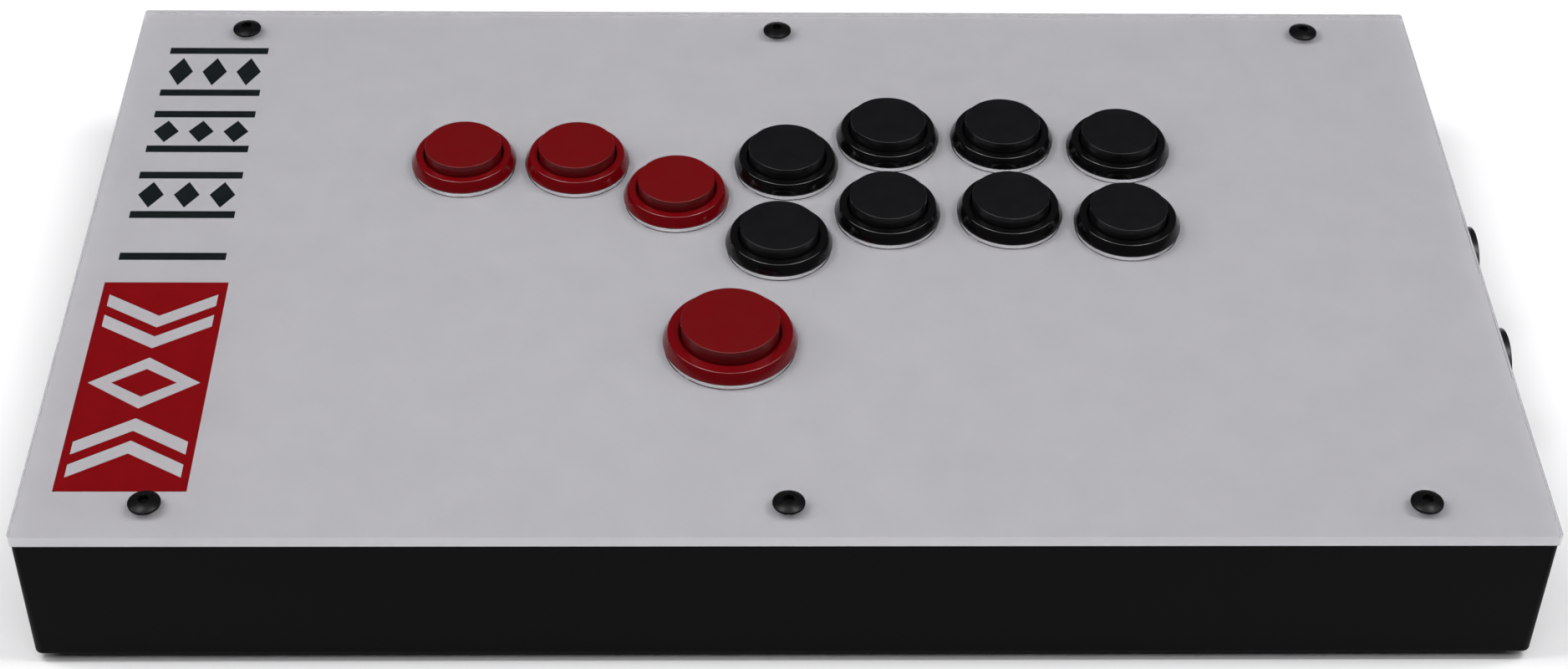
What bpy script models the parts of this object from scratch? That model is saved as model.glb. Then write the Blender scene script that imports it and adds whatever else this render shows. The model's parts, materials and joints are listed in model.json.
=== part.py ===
# Arcade control panel with fourteen push buttons and no stick, in metres, +Z up.
# The origin is on the table, under the middle of the whole outline. The player sits on the -Y side.

import math

import bmesh
import bpy
from mathutils import Matrix

# Room left between pieces that touch
GAP = 0.0003

# Clear cover: the largest sheet, and the top of the whole stack
COVER_WIDTH = 0.360
COVER_DEPTH = 0.210
COVER_THICK = 0.003
COVER_CORNER = 0.001
COVER_TOP = 0.0425

# Printed sheet and the plate that backs it
SHEET_THICK = 0.0003
PLATE_THICK = 0.0015

# The buttons fit the plate's holes. The cover's and the sheet's are wider, and each rim covers this much more.
RIM_OVERLAP = 0.0005

# Case: a moulded tray, open at the top
CASE_INSET = 0.0002
CASE_WALL = 0.003
CASE_FLOOR = 0.002
CASE_CORNER = 0.002
FOOT_HEIGHT = 0.0025

# How far the side buttons stand out past the cover's edge
SIDE_REACH = 0.0056

# Levels, from the table up
TRAY_BOTTOM = FOOT_HEIGHT
FLOOR_TOP = TRAY_BOTTOM + CASE_FLOOR
COVER_BOTTOM = COVER_TOP - COVER_THICK
SHEET_TOP = COVER_BOTTOM - GAP
SHEET_BOTTOM = SHEET_TOP - SHEET_THICK
PLATE_TOP = SHEET_BOTTOM - GAP
PLATE_BOTTOM = PLATE_TOP - PLATE_THICK
POST_TOP = PLATE_BOTTOM - GAP

CASE_WIDTH = COVER_WIDTH - 2 * CASE_INSET
CASE_DEPTH = COVER_DEPTH - 2 * CASE_INSET

# Cover screws: M4 button heads, about ten millimetres in from the long edges
SCREW_COLUMNS = {"left": -0.150, "middle": 0.0, "right": 0.150}
SCREW_ROWS = {"front": -0.094, "back": 0.0956}
SCREW_SHANK = 0.002
SCREW_HEAD = 0.0039
SCREW_HEAD_HEIGHT = 0.0017
SCREW_LENGTH = 0.018
SCREW_HOLE = 0.0023
HEX_ACROSS_FLATS = 0.0025
HEX_DEPTH = 0.0014
POST_RADIUS = 0.005
RIB_WIDTH = 0.006

# Feet: stick-on rubber discs
FOOT_X = 0.158
FOOT_Y = 0.084
FOOT_RADIUS = 0.0065

# Push buttons. Heights are measured from the face that a button is fitted to.
BUTTON_SIZES = {
    "small": {"hole": 0.0120, "rim": 0.01395, "plunger": 0.0101, "top": 0.0058},
    "large": {"hole": 0.0150, "rim": 0.01685, "plunger": 0.0123, "top": 0.0067},
}
RIM_HEIGHT = 0.003
PLUNGER_CLEARANCE = 0.0004
PLUNGER_WALL = 0.0014
PLUNGER_SKIRT = 0.006
BARREL_DEPTH = 0.014
BARREL_FLOOR = 0.0016
STEM_RADIUS = 0.0024
STEM_DEPTH = 0.0102
STEM_HOLE = 0.0032
TAB_WIDTH = 0.005
TAB_HEIGHT = 0.0035
TAB_REACH = 0.0008

# Each top button: where it is from the panel's middle, its size and its colour
TOP_BUTTONS = {
    "left": (-0.0846, 0.0353, "small", "red"),
    "down": (-0.0544, 0.0352, "small", "red"),
    "right": (-0.0277, 0.0208, "small", "red"),
    "up": (-0.0136, -0.0367, "large", "red"),
    "upper_1": (0.0016, 0.0344, "small", "black"),
    "upper_2": (0.0292, 0.0465, "small", "black"),
    "upper_3": (0.0601, 0.0460, "small", "black"),
    "upper_4": (0.0913, 0.0418, "small", "black"),
    "lower_1": (-0.0009, 0.0016, "small", "black"),
    "lower_2": (0.0278, 0.0142, "small", "black"),
    "lower_3": (0.0600, 0.0143, "small", "black"),
    "lower_4": (0.0904, 0.0096, "small", "black"),
}
# Each button on the right wall: how far back it is
SIDE_BUTTONS = {"side_back": 0.0165, "side_front": -0.0247}
SIDE_BUTTON_LEVEL = 0.023

# Switch under each button: a miniature snap-action switch with two blades
SWITCH_SIZE = (0.0128, 0.0058, 0.0065)
SWITCH_NUB = (0.0024, 0.0024, 0.0012)
BLADE_SIZE = (0.0028, 0.0005, 0.0063)
BLADE_SPACING = 0.0088

# Circuit board at the back left, with its cable socket in the back wall
BOARD_CENTRE = (-0.105, 0.078)
BOARD_SIZE = (0.074, 0.042, 0.0016)
BOARD_BOTTOM = 0.010
BOARD_SCREWS = {"left": (-0.137, 0.062), "right": (-0.073, 0.062)}
BOARD_SCREW_SHANK = 0.00125
BOARD_SCREW_HOLE = 0.0016
STANDOFF_RADIUS = 0.003
CHIP_SIZE = (0.010, 0.010, 0.0014)
TERMINAL_SIZE = (0.050, 0.0065, 0.009)
SOCKET_X = -0.105
SOCKET_SIZE = (0.0089, 0.0084, 0.0033)
SOCKET_MOUTH = (0.0083, 0.0062, 0.0026)
SOCKET_TONGUE = (0.0067, 0.0056, 0.0007)

ROUND_STEPS = 16
SMALL_STEPS = 8


def clear_scene():
    for old in list(bpy.data.objects):
        bpy.data.objects.remove(old, do_unlink=True)


def make_material(name, colour, roughness, metallic=0.0, alpha=1.0):
    material = bpy.data.materials.new(name)
    material.use_nodes = True
    shader = material.node_tree.nodes["Principled BSDF"]
    shader.inputs["Base Color"].default_value = (*colour, 1.0)
    shader.inputs["Roughness"].default_value = roughness
    shader.inputs["Metallic"].default_value = metallic
    shader.inputs["Alpha"].default_value = alpha
    material.diffuse_color = (*colour, alpha)
    return material


def make_materials():
    return {
        "case": make_material("black_case_plastic", (0.008, 0.008, 0.009), 0.5),
        "plate": make_material("grey_plate_steel", (0.35, 0.35, 0.36), 0.4, metallic=1.0),
        "sheet": make_material("printed_paper", (0.45, 0.45, 0.46), 0.6),
        "cover": make_material("clear_acrylic", (0.85, 0.87, 0.87), 0.05, alpha=0.3),
        "red": make_material("red_button_plastic", (0.20, 0.005, 0.008), 0.2),
        "black": make_material("black_button_plastic", (0.010, 0.010, 0.011), 0.2),
        "screw": make_material("black_screw_steel", (0.02, 0.02, 0.02), 0.35, metallic=1.0),
        "foot": make_material("foot_rubber", (0.015, 0.015, 0.015), 0.8),
        "switch": make_material("switch_body_plastic", (0.03, 0.03, 0.03), 0.5),
        "board": make_material("green_circuit_board", (0.01, 0.08, 0.03), 0.45),
        "socket": make_material("socket_shell_steel", (0.6, 0.6, 0.6), 0.3, metallic=1.0),
    }


def mesh_from(bm):
    bmesh.ops.recalc_face_normals(bm, faces=bm.faces)
    mesh = bpy.data.meshes.new("shape")
    bm.to_mesh(mesh)
    bm.free()
    return mesh


def rounded_outline(width, depth, radius, steps=4):
    # Corner arcs, anticlockwise from the +X +Y corner
    points = []
    for quarter, (sign_x, sign_y) in enumerate(((1, 1), (-1, 1), (-1, -1), (1, -1))):
        centre_x = sign_x * (width / 2 - radius)
        centre_y = sign_y * (depth / 2 - radius)
        for step in range(steps + 1):
            angle = math.radians(90) * (quarter + step / steps)
            points.append((centre_x + radius * math.cos(angle), centre_y + radius * math.sin(angle)))
    return points


def prism(outline, bottom, top):
    bm = bmesh.new()
    base = bm.faces.new([bm.verts.new((x, y, bottom)) for x, y in outline])
    grown = bmesh.ops.extrude_face_region(bm, geom=[base])
    moved = [item for item in grown["geom"] if isinstance(item, bmesh.types.BMVert)]
    bmesh.ops.translate(bm, verts=moved, vec=(0, 0, top - bottom))
    return mesh_from(bm)


def slab(width, depth, radius, bottom, top):
    return prism(rounded_outline(width, depth, radius), bottom, top)


def block(centre, size):
    bm = bmesh.new()
    bmesh.ops.create_cube(bm, size=1.0, matrix=Matrix.Translation(centre) @ Matrix.Diagonal((*size, 1.0)))
    return mesh_from(bm)


def peg(x, y, radius, bottom, top, steps=ROUND_STEPS):
    # An upright cylinder whose first corner points along +X
    corners = [math.tau * step / steps for step in range(steps)]
    outline = [(x + radius * math.cos(angle), y + radius * math.sin(angle)) for angle in corners]
    return prism(outline, bottom, top)


def turned(profile, steps=ROUND_STEPS):
    # Turns (radius, height) points about the Z axis. A point on the axis becomes a single corner.
    bm = bmesh.new()
    rings = []
    for radius, height in profile:
        if radius == 0:
            rings.append([bm.verts.new((0, 0, height))] * steps)
            continue
        angles = [math.tau * step / steps for step in range(steps)]
        rings.append([bm.verts.new((radius * math.cos(a), radius * math.sin(a), height)) for a in angles])
    closes = profile[0][0] > 0
    pairs = list(zip(rings, rings[1:] + rings[:1])) if closes else list(zip(rings, rings[1:]))
    for lower, upper in pairs:
        for step in range(steps):
            following = (step + 1) % steps
            corners = [lower[step], lower[following], upper[following], upper[step]]
            bm.faces.new(list(dict.fromkeys(corners)))
    return mesh_from(bm)


def together(meshes):
    # Shapes that don't touch, gathered in one mesh so that one Boolean can use them all
    bm = bmesh.new()
    for mesh in meshes:
        bm.from_mesh(mesh)
    return mesh_from(bm)


def combined(mesh, other, operation):
    collection = bpy.context.scene.collection
    base = bpy.data.objects.new("base_shape", mesh)
    tool = bpy.data.objects.new("tool_shape", other)
    collection.objects.link(base)
    collection.objects.link(tool)
    modifier = base.modifiers.new("combine", "BOOLEAN")
    modifier.operation = operation
    modifier.object = tool
    bpy.context.view_layer.update()
    graph = bpy.context.evaluated_depsgraph_get()
    result = bpy.data.meshes.new_from_object(base.evaluated_get(graph))
    bpy.data.objects.remove(base, do_unlink=True)
    bpy.data.objects.remove(tool, do_unlink=True)
    return result


def cut(mesh, other):
    return combined(mesh, other, "DIFFERENCE")


def united(mesh, other):
    return combined(mesh, other, "UNION")


def place(name, mesh, material, parent, location=(0, 0, 0)):
    mesh.name = name
    mesh.materials.clear()
    mesh.materials.append(material)
    mesh.shade_smooth()
    mesh.set_sharp_from_angle(angle=math.radians(30))
    piece = bpy.data.objects.new(name, mesh)
    piece.parent = parent
    piece.location = location
    bpy.context.scene.collection.objects.link(piece)
    return piece


def place_empty(name, parent=None, location=(0, 0, 0), rotation=(0, 0, 0)):
    empty = bpy.data.objects.new(name, None)
    empty.parent = parent
    empty.location = location
    empty.rotation_euler = rotation
    empty.empty_display_size = 0.01
    bpy.context.scene.collection.objects.link(empty)
    return empty


def screw_places():
    for row, y in SCREW_ROWS.items():
        for column, x in SCREW_COLUMNS.items():
            yield f"{row}_{column}", x, y


def panel_holes(bottom, top, fitted):
    # Everything that passes through the cover, the sheet and the plate. Only the plate's holes fit the buttons.
    pegs = []
    for x, y, size, _ in TOP_BUTTONS.values():
        radius = BUTTON_SIZES[size]["hole"] if fitted else BUTTON_SIZES[size]["rim"] - RIM_OVERLAP
        pegs.append(peg(x, y, radius, bottom, top))
    pegs += [peg(x, y, SCREW_HOLE, bottom, top, SMALL_STEPS) for _, x, y in screw_places()]
    return together(pegs)


def make_panel_layers(materials, panel):
    past = 0.001
    inner_width = CASE_WIDTH - 2 * CASE_WALL - 2 * GAP
    inner_depth = CASE_DEPTH - 2 * CASE_WALL - 2 * GAP
    cover = slab(COVER_WIDTH, COVER_DEPTH, COVER_CORNER, COVER_BOTTOM, COVER_TOP)
    cover = cut(cover, panel_holes(COVER_BOTTOM - past, COVER_TOP + past, fitted=False))
    place("clear_cover", cover, materials["cover"], panel)
    sheet = slab(CASE_WIDTH, CASE_DEPTH, CASE_CORNER, SHEET_BOTTOM, SHEET_TOP)
    sheet = cut(sheet, panel_holes(SHEET_BOTTOM - past, SHEET_TOP + past, fitted=False))
    place("artwork_sheet", sheet, materials["sheet"], panel)
    plate = slab(inner_width, inner_depth, CASE_CORNER, PLATE_BOTTOM, PLATE_TOP)
    plate = cut(plate, panel_holes(PLATE_BOTTOM - past, PLATE_TOP + past, fitted=True))
    place("button_plate", plate, materials["plate"], panel)


def make_case(materials, panel):
    past = 0.001
    tray = slab(CASE_WIDTH, CASE_DEPTH, CASE_CORNER, TRAY_BOTTOM, PLATE_TOP)
    inner_width = CASE_WIDTH - 2 * CASE_WALL
    inner_depth = CASE_DEPTH - 2 * CASE_WALL
    tray = cut(tray, slab(inner_width, inner_depth, CASE_CORNER, FLOOR_TOP, PLATE_TOP + past))

    # A post under each cover screw, with a rib that ties it to the wall behind it
    overlap = 0.0005
    for _, x, y in screw_places():
        post = peg(x, y, POST_RADIUS, FLOOR_TOP - overlap, POST_TOP)
        wall_y = math.copysign(inner_depth / 2 + overlap, y)
        rib_size = (RIB_WIDTH, abs(wall_y - y), POST_TOP - FLOOR_TOP)
        rib = block((x, (y + wall_y) / 2, (POST_TOP + FLOOR_TOP) / 2 - overlap), rib_size)
        tray = united(tray, united(post, rib))
    bore_bottom = COVER_TOP - SCREW_LENGTH - past
    bores = [peg(x, y, SCREW_HOLE, bore_bottom, POST_TOP + past, SMALL_STEPS) for _, x, y in screw_places()]
    tray = cut(tray, together(bores))

    # Two short pillars carry the circuit board
    for x, y in BOARD_SCREWS.values():
        pillar = peg(x, y, STANDOFF_RADIUS, FLOOR_TOP - overlap, BOARD_BOTTOM - GAP, SMALL_STEPS)
        tray = united(tray, pillar)
    bores = [
        peg(x, y, BOARD_SCREW_HOLE, FLOOR_TOP + overlap, BOARD_BOTTOM + past, SMALL_STEPS)
        for x, y in BOARD_SCREWS.values()
    ]
    tray = cut(tray, together(bores))

    # Round holes in the right wall for the side buttons, and a slot in the back wall for the socket
    side_holes = []
    for y in SIDE_BUTTONS.values():
        hole = peg(0, 0, BUTTON_SIZES["small"]["hole"], -CASE_WALL, CASE_WALL)
        hole.transform(Matrix.Translation((CASE_WIDTH / 2 - CASE_WALL / 2, y, SIDE_BUTTON_LEVEL)) @ sideways())
        side_holes.append(hole)
    tray = cut(tray, together(side_holes))
    socket_middle = BOARD_BOTTOM + BOARD_SIZE[2] + GAP + SOCKET_SIZE[2] / 2
    slot_size = (SOCKET_SIZE[0] + 2 * GAP, 3 * CASE_WALL, SOCKET_SIZE[2] + 2 * GAP)
    tray = cut(tray, block((SOCKET_X, CASE_DEPTH / 2, socket_middle), slot_size))
    place("case_tray", tray, materials["case"], panel)


def sideways():
    # Turns a button's own +Z, the way it faces, to +X, and its snap ramps to the front and back
    return Matrix.Rotation(math.radians(90), 4, "Y") @ Matrix.Rotation(math.radians(90), 4, "Z")


def make_cover_screws(materials, panel):
    shank_end = -SCREW_LENGTH
    profile = (
        (0, SCREW_HEAD_HEIGHT),
        (SCREW_HEAD * 0.55, SCREW_HEAD_HEIGHT * 0.93),
        (SCREW_HEAD * 0.86, SCREW_HEAD_HEIGHT * 0.60),
        (SCREW_HEAD, SCREW_HEAD_HEIGHT * 0.18),
        (SCREW_HEAD, 0.0),
        (SCREW_SHANK, 0.0),
        (SCREW_SHANK, shank_end),
        (0, shank_end),
    )
    hex_radius = HEX_ACROSS_FLATS / math.sqrt(3)
    for name, x, y in screw_places():
        socket = peg(0, 0, hex_radius, SCREW_HEAD_HEIGHT - HEX_DEPTH, SCREW_HEAD_HEIGHT * 2, 6)
        screw = cut(turned(profile, steps=12), socket)
        place(f"cover_screw_{name}", screw, materials["screw"], panel, (x, y, COVER_TOP + GAP))


def make_feet(materials, panel):
    top = FOOT_HEIGHT - GAP
    profile = ((0, 0), (FOOT_RADIUS * 0.86, 0), (FOOT_RADIUS, top * 0.6), (FOOT_RADIUS, top), (0, top))
    for row, y in (("front", -FOOT_Y), ("back", FOOT_Y)):
        for column, x in (("left", -FOOT_X), ("right", FOOT_X)):
            place(f"foot_{row}_{column}", turned(profile), materials["foot"], panel, (x, y, 0))


def housing_mesh(size, grip):
    # One turned shell: a rim on the face, flat on top with steep sides, and a barrel below it with a floor.
    # Two ramps on the barrel snap out under whatever the button grips.
    rim = BUTTON_SIZES[size]["rim"]
    bore = BUTTON_SIZES[size]["plunger"] + PLUNGER_CLEARANCE
    barrel = BUTTON_SIZES[size]["hole"] - GAP
    profile = (
        (bore, RIM_HEIGHT - 0.0005),
        (bore + 0.0006, RIM_HEIGHT),
        (rim - 0.0018, RIM_HEIGHT),
        (rim - 0.0010, RIM_HEIGHT * 0.80),
        (rim, RIM_HEIGHT * 0.15),
        (rim, GAP),
        (barrel, GAP),
        (barrel, -BARREL_DEPTH),
        (STEM_HOLE, -BARREL_DEPTH),
        (STEM_HOLE, BARREL_FLOOR - BARREL_DEPTH),
        (bore, BARREL_FLOOR - BARREL_DEPTH),
    )
    shell = turned(profile)
    for side in (1, -1):
        shell = united(shell, snap_ramp(barrel, grip, side))
    return shell


def snap_ramp(barrel, grip, side):
    # A wedge, widest just under the gripped sheet and flush with the barrel at its foot
    top = -grip - GAP
    bm = bmesh.new()
    inside = side * (barrel - 0.0006)
    corners = ((inside, top), (side * (barrel + TAB_REACH), top), (inside, top - TAB_HEIGHT))
    face = bm.faces.new([bm.verts.new((x, -TAB_WIDTH / 2, z)) for x, z in corners])
    grown = bmesh.ops.extrude_face_region(bm, geom=[face])
    moved = [item for item in grown["geom"] if isinstance(item, bmesh.types.BMVert)]
    bmesh.ops.translate(bm, verts=moved, vec=(0, TAB_WIDTH, 0))
    return mesh_from(bm)


def plunger_mesh(size):
    # A hollow cap with a central stem that presses the switch
    outer = BUTTON_SIZES[size]["plunger"]
    inner = outer - PLUNGER_WALL
    height = BUTTON_SIZES[size]["top"]
    ceiling = height - 2 * PLUNGER_WALL
    profile = (
        (0, height),
        (outer * 0.86, height - 0.0001),
        (outer - 0.0003, height - 0.0005),
        (outer, height - 0.0012),
        (outer, -PLUNGER_SKIRT),
        (inner, -PLUNGER_SKIRT),
        (inner, ceiling),
        (STEM_RADIUS, ceiling),
        (STEM_RADIUS, -STEM_DEPTH),
        (0, -STEM_DEPTH),
    )
    return turned(profile)


def switch_mesh():
    top = -BARREL_DEPTH - GAP
    bottom = top - SWITCH_SIZE[2]
    switch = block((0, 0, (top + bottom) / 2), SWITCH_SIZE)
    nub = block((0, 0, top), (SWITCH_NUB[0], SWITCH_NUB[1], 2 * SWITCH_NUB[2]))
    switch = united(switch, nub)
    sunk = 0.0005
    for x in (-BLADE_SPACING / 2, BLADE_SPACING / 2):
        switch = united(switch, block((x, 0, bottom - BLADE_SIZE[2] / 2 + sunk), BLADE_SIZE))
    return switch


def make_button(name, size, colour, grip, holder, materials):
    place(f"{name}_housing", housing_mesh(size, grip), materials[colour], holder)
    place(f"{name}_plunger", plunger_mesh(size), materials[colour], holder)
    place(f"{name}_switch", switch_mesh(), materials["switch"], holder)


def make_buttons(materials, panel):
    for name, (x, y, size, colour) in TOP_BUTTONS.items():
        holder = place_empty(f"{name}_button", panel, (x, y, COVER_TOP))
        make_button(name, size, colour, COVER_TOP - PLATE_BOTTOM, holder, materials)
    for name, y in SIDE_BUTTONS.items():
        location = (CASE_WIDTH / 2, y, SIDE_BUTTON_LEVEL)
        holder = place_empty(f"{name}_button", panel, location, sideways().to_euler())
        make_button(name, "small", "black", CASE_WALL, holder, materials)


def make_board(materials, panel):
    x, y = BOARD_CENTRE
    top = BOARD_BOTTOM + BOARD_SIZE[2]
    sunk = 0.0003
    board = block((x, y, BOARD_BOTTOM + BOARD_SIZE[2] / 2), BOARD_SIZE)
    chip = block((x + 0.012, y, top + CHIP_SIZE[2] / 2 - sunk), CHIP_SIZE)
    terminal_y = y - BOARD_SIZE[1] / 2 + TERMINAL_SIZE[1]
    terminal = block((x, terminal_y, top + TERMINAL_SIZE[2] / 2 - sunk), TERMINAL_SIZE)
    board = united(united(board, chip), terminal)
    holes = [
        peg(hole_x, hole_y, BOARD_SCREW_HOLE, BOARD_BOTTOM - 0.001, top + 0.001, SMALL_STEPS)
        for hole_x, hole_y in BOARD_SCREWS.values()
    ]
    place("main_board", cut(board, together(holes)), materials["board"], panel)

    profile = (
        (0, 0.0018),
        (0.0020, 0.0015),
        (0.0027, 0.0004),
        (0.0027, 0.0),
        (BOARD_SCREW_SHANK, 0.0),
        (BOARD_SCREW_SHANK, -0.0062),
        (0, -0.0062),
    )
    for name, (hole_x, hole_y) in BOARD_SCREWS.items():
        screw = turned(profile, SMALL_STEPS)
        place(f"board_screw_{name}", screw, materials["screw"], panel, (hole_x, hole_y, top + GAP))

    # The socket lies on the board and its mouth is level with the outside of the back wall
    back = CASE_DEPTH / 2
    middle = top + GAP + SOCKET_SIZE[2] / 2
    socket = block((SOCKET_X, back - SOCKET_SIZE[1] / 2, middle), SOCKET_SIZE)
    mouth_size = (SOCKET_MOUTH[0], 2 * SOCKET_MOUTH[1], SOCKET_MOUTH[2])
    socket = cut(socket, block((SOCKET_X, back, middle), mouth_size))
    tongue_y = back - SOCKET_MOUTH[1] + SOCKET_TONGUE[1] / 2 - sunk
    socket = united(socket, block((SOCKET_X, tongue_y, middle), SOCKET_TONGUE))
    place("cable_socket", socket, materials["socket"], panel)


def main():
    clear_scene()
    materials = make_materials()
    # The side buttons lengthen the outline on the right only, so the panel's middle is left of the origin
    panel = place_empty("panel_middle", location=(-SIDE_REACH / 2, 0, 0))
    make_case(materials, panel)
    make_panel_layers(materials, panel)
    make_cover_screws(materials, panel)
    make_feet(materials, panel)
    make_buttons(materials, panel)
    make_board(materials, panel)


main()
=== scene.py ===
import json
import math

import bmesh
import bpy
from mathutils import Matrix, Vector


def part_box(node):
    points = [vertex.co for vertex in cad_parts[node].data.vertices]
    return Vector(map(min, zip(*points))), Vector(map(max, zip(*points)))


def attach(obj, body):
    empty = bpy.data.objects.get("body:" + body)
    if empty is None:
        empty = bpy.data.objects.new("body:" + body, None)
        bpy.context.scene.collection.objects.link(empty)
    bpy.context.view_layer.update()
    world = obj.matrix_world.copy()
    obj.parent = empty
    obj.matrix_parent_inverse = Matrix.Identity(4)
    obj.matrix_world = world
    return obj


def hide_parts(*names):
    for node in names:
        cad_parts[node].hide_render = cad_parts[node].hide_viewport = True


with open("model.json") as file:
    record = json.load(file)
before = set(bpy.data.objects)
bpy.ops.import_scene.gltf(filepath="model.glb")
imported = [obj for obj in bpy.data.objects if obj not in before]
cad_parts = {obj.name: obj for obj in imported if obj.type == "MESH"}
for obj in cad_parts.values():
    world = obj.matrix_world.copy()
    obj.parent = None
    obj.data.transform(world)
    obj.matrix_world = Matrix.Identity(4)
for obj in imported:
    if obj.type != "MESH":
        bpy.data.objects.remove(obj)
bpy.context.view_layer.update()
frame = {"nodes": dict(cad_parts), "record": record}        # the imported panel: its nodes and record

mm = 0.001
slotOf = {part["node"]: part["material_slot"] for part in frame["record"]["subparts"]}
coverLow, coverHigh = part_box("clear_cover")
caseLow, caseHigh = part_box("case_tray")
plateLow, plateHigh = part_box("button_plate")
panelMiddle = (coverLow + coverHigh) / 2
panelMiddle.z = 0


def finishedMesh(bm, name):
    bmesh.ops.remove_doubles(bm, verts=bm.verts, dist=0.0005 * mm)
    bmesh.ops.recalc_face_normals(bm, faces=bm.faces)
    mesh = bpy.data.meshes.new(name)
    bm.to_mesh(mesh)
    bm.free()
    return mesh


def circlePoints(x, y, radius, steps=96):
    angles = [math.tau * step / steps for step in range(steps)]
    return [(x + radius * math.cos(a), y + radius * math.sin(a)) for a in angles]


def roundedRectangle(width, depth, radius, steps=10, x=0.0, y=0.0):
    points = []
    for quarter, (signX, signY) in enumerate(((1, 1), (-1, 1), (-1, -1), (1, -1))):
        centreX = x + signX * (width / 2 - radius)
        centreY = y + signY * (depth / 2 - radius)
        for step in range(steps + 1):
            angle = math.radians(90) * (quarter + step / steps)
            points.append((centreX + radius * math.cos(angle), centreY + radius * math.sin(angle)))
    return points


def arcPoints(centreR, centreZ, radius, startDegrees, endDegrees, steps=6):
    # Part of a circle in a turned profile, as (radius, height) points
    points = []
    for step in range(steps + 1):
        angle = math.radians(startDegrees + (endDegrees - startDegrees) * step / steps)
        points.append((centreR + radius * math.cos(angle), centreZ + radius * math.sin(angle)))
    return points


def loftMesh(rings, name):
    # Joins rings of equally many points, and caps the first and the last
    bm = bmesh.new()
    made = [[bm.verts.new(point) for point in ring] for ring in rings]
    count = len(made[0])
    bm.faces.new(made[0])
    bm.faces.new(made[-1])
    for lower, upper in zip(made, made[1:]):
        for step in range(count):
            following = (step + 1) % count
            bm.faces.new((lower[step], lower[following], upper[following], upper[step]))
    return finishedMesh(bm, name)


def turnedMesh(profile, name, steps=96):
    # Turns (radius, height) points about Z. A profile that starts and ends on the axis is closed by it.
    bm = bmesh.new()
    rings = []
    for radius, height in profile:
        if radius < 1e-9:
            rings.append([bm.verts.new((0, 0, height))] * steps)
        else:
            rings.append([bm.verts.new((x, y, height)) for x, y in circlePoints(0, 0, radius, steps)])
    onAxis = profile[0][0] < 1e-9
    pairs = list(zip(rings, rings[1:])) if onAxis else list(zip(rings, rings[1:] + rings[:1]))
    for lower, upper in pairs:
        for step in range(steps):
            following = (step + 1) % steps
            corners = (lower[step], lower[following], upper[following], upper[step])
            bm.faces.new(list(dict.fromkeys(corners)))
    return finishedMesh(bm, name)


def plateMesh(loops, bottom, top, edge, name):
    # A flat sheet with any number of holes, its edges eased by a small round
    curve = bpy.data.curves.new(name, "CURVE")
    curve.dimensions = "2D"
    curve.fill_mode = "BOTH"
    curve.extrude = (top - bottom) / 2 - edge
    curve.bevel_depth = edge
    curve.bevel_resolution = 1
    curve.offset = -edge
    for loop in loops:
        spline = curve.splines.new("POLY")
        spline.points.add(len(loop) - 1)
        for point, (x, y) in zip(spline.points, loop):
            point.co = (x, y, 0, 1)
        spline.use_cyclic_u = True
    holder = bpy.data.objects.new(name, curve)
    bpy.context.scene.collection.objects.link(holder)
    bpy.context.view_layer.update()
    made = bpy.data.meshes.new_from_object(holder.evaluated_get(bpy.context.evaluated_depsgraph_get()))
    bpy.data.objects.remove(holder, do_unlink=True)
    made.transform(Matrix.Translation((0, 0, (bottom + top) / 2)))
    bm = bmesh.new()
    bm.from_mesh(made)
    bpy.data.meshes.remove(made)
    return finishedMesh(bm, name)


def blockMesh(centre, size, edge, name):
    # A box with its edges rounded over
    bm = bmesh.new()
    bmesh.ops.create_cube(bm, size=1.0, matrix=Matrix.Translation(centre) @ Matrix.Diagonal((*size, 1.0)))
    if edge:
        bmesh.ops.bevel(bm, geom=list(bm.edges), offset=edge, segments=3, profile=0.5, affect="EDGES")
    return finishedMesh(bm, name)


def gathered(meshes, name):
    bm = bmesh.new()
    for mesh in meshes:
        bm.from_mesh(mesh)
        bpy.data.meshes.remove(mesh)
    return finishedMesh(bm, name)


def combined(mesh, tool, operation):
    # One Boolean, with both shapes used up
    base = bpy.data.objects.new("baseShape", mesh)
    cutter = bpy.data.objects.new("toolShape", tool)
    for shape in (base, cutter):
        bpy.context.scene.collection.objects.link(shape)
    modifier = base.modifiers.new("combine", "BOOLEAN")
    modifier.operation = operation
    modifier.object = cutter
    bpy.context.view_layer.update()
    made = bpy.data.meshes.new_from_object(base.evaluated_get(bpy.context.evaluated_depsgraph_get()))
    for shape in (base, cutter):
        bpy.data.objects.remove(shape, do_unlink=True)
    return made


def addPiece(name, mesh, material, body, node=None, place=None, smoothBelow=35):
    mesh.name = name
    mesh.materials.clear()
    mesh.materials.append(material)
    mesh.shade_smooth()
    mesh.set_sharp_from_angle(angle=math.radians(smoothBelow))
    for polygon in mesh.polygons:        # level and upright faces stay flat, next to their rounded edges
        polygon.use_smooth = max(abs(value) for value in polygon.normal) < 0.999999
    piece = bpy.data.objects.new(name, mesh)
    bpy.context.scene.collection.objects.link(piece)
    piece.matrix_world = place or Matrix.Identity(4)
    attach(piece, body)
    if node:
        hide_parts(node)
    return piece


def linearColour(hexColour):
    # sRGB hex to the linear values that the shaders work in
    values = [int(hexColour[i:i + 2], 16) / 255 for i in (1, 3, 5)]
    return [v / 12.92 if v <= 0.04045 else ((v + 0.055) / 1.055) ** 2.4 for v in values] + [1.0]


def addNode(tree, kind, settings=None, links=None):
    # settings are attributes or input values by name, and links are sockets to plug in by input name
    node = tree.nodes.new(kind)
    for name, value in (settings or {}).items():
        if hasattr(node, name):
            setattr(node, name, value)
        else:
            node.inputs[name].default_value = value
    for name, socket in (links or {}).items():
        tree.links.new(socket, node.inputs[name])
    return node


patchSpread = (0.3, 0.7)     # the part of the noise that shows as patches


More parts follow.
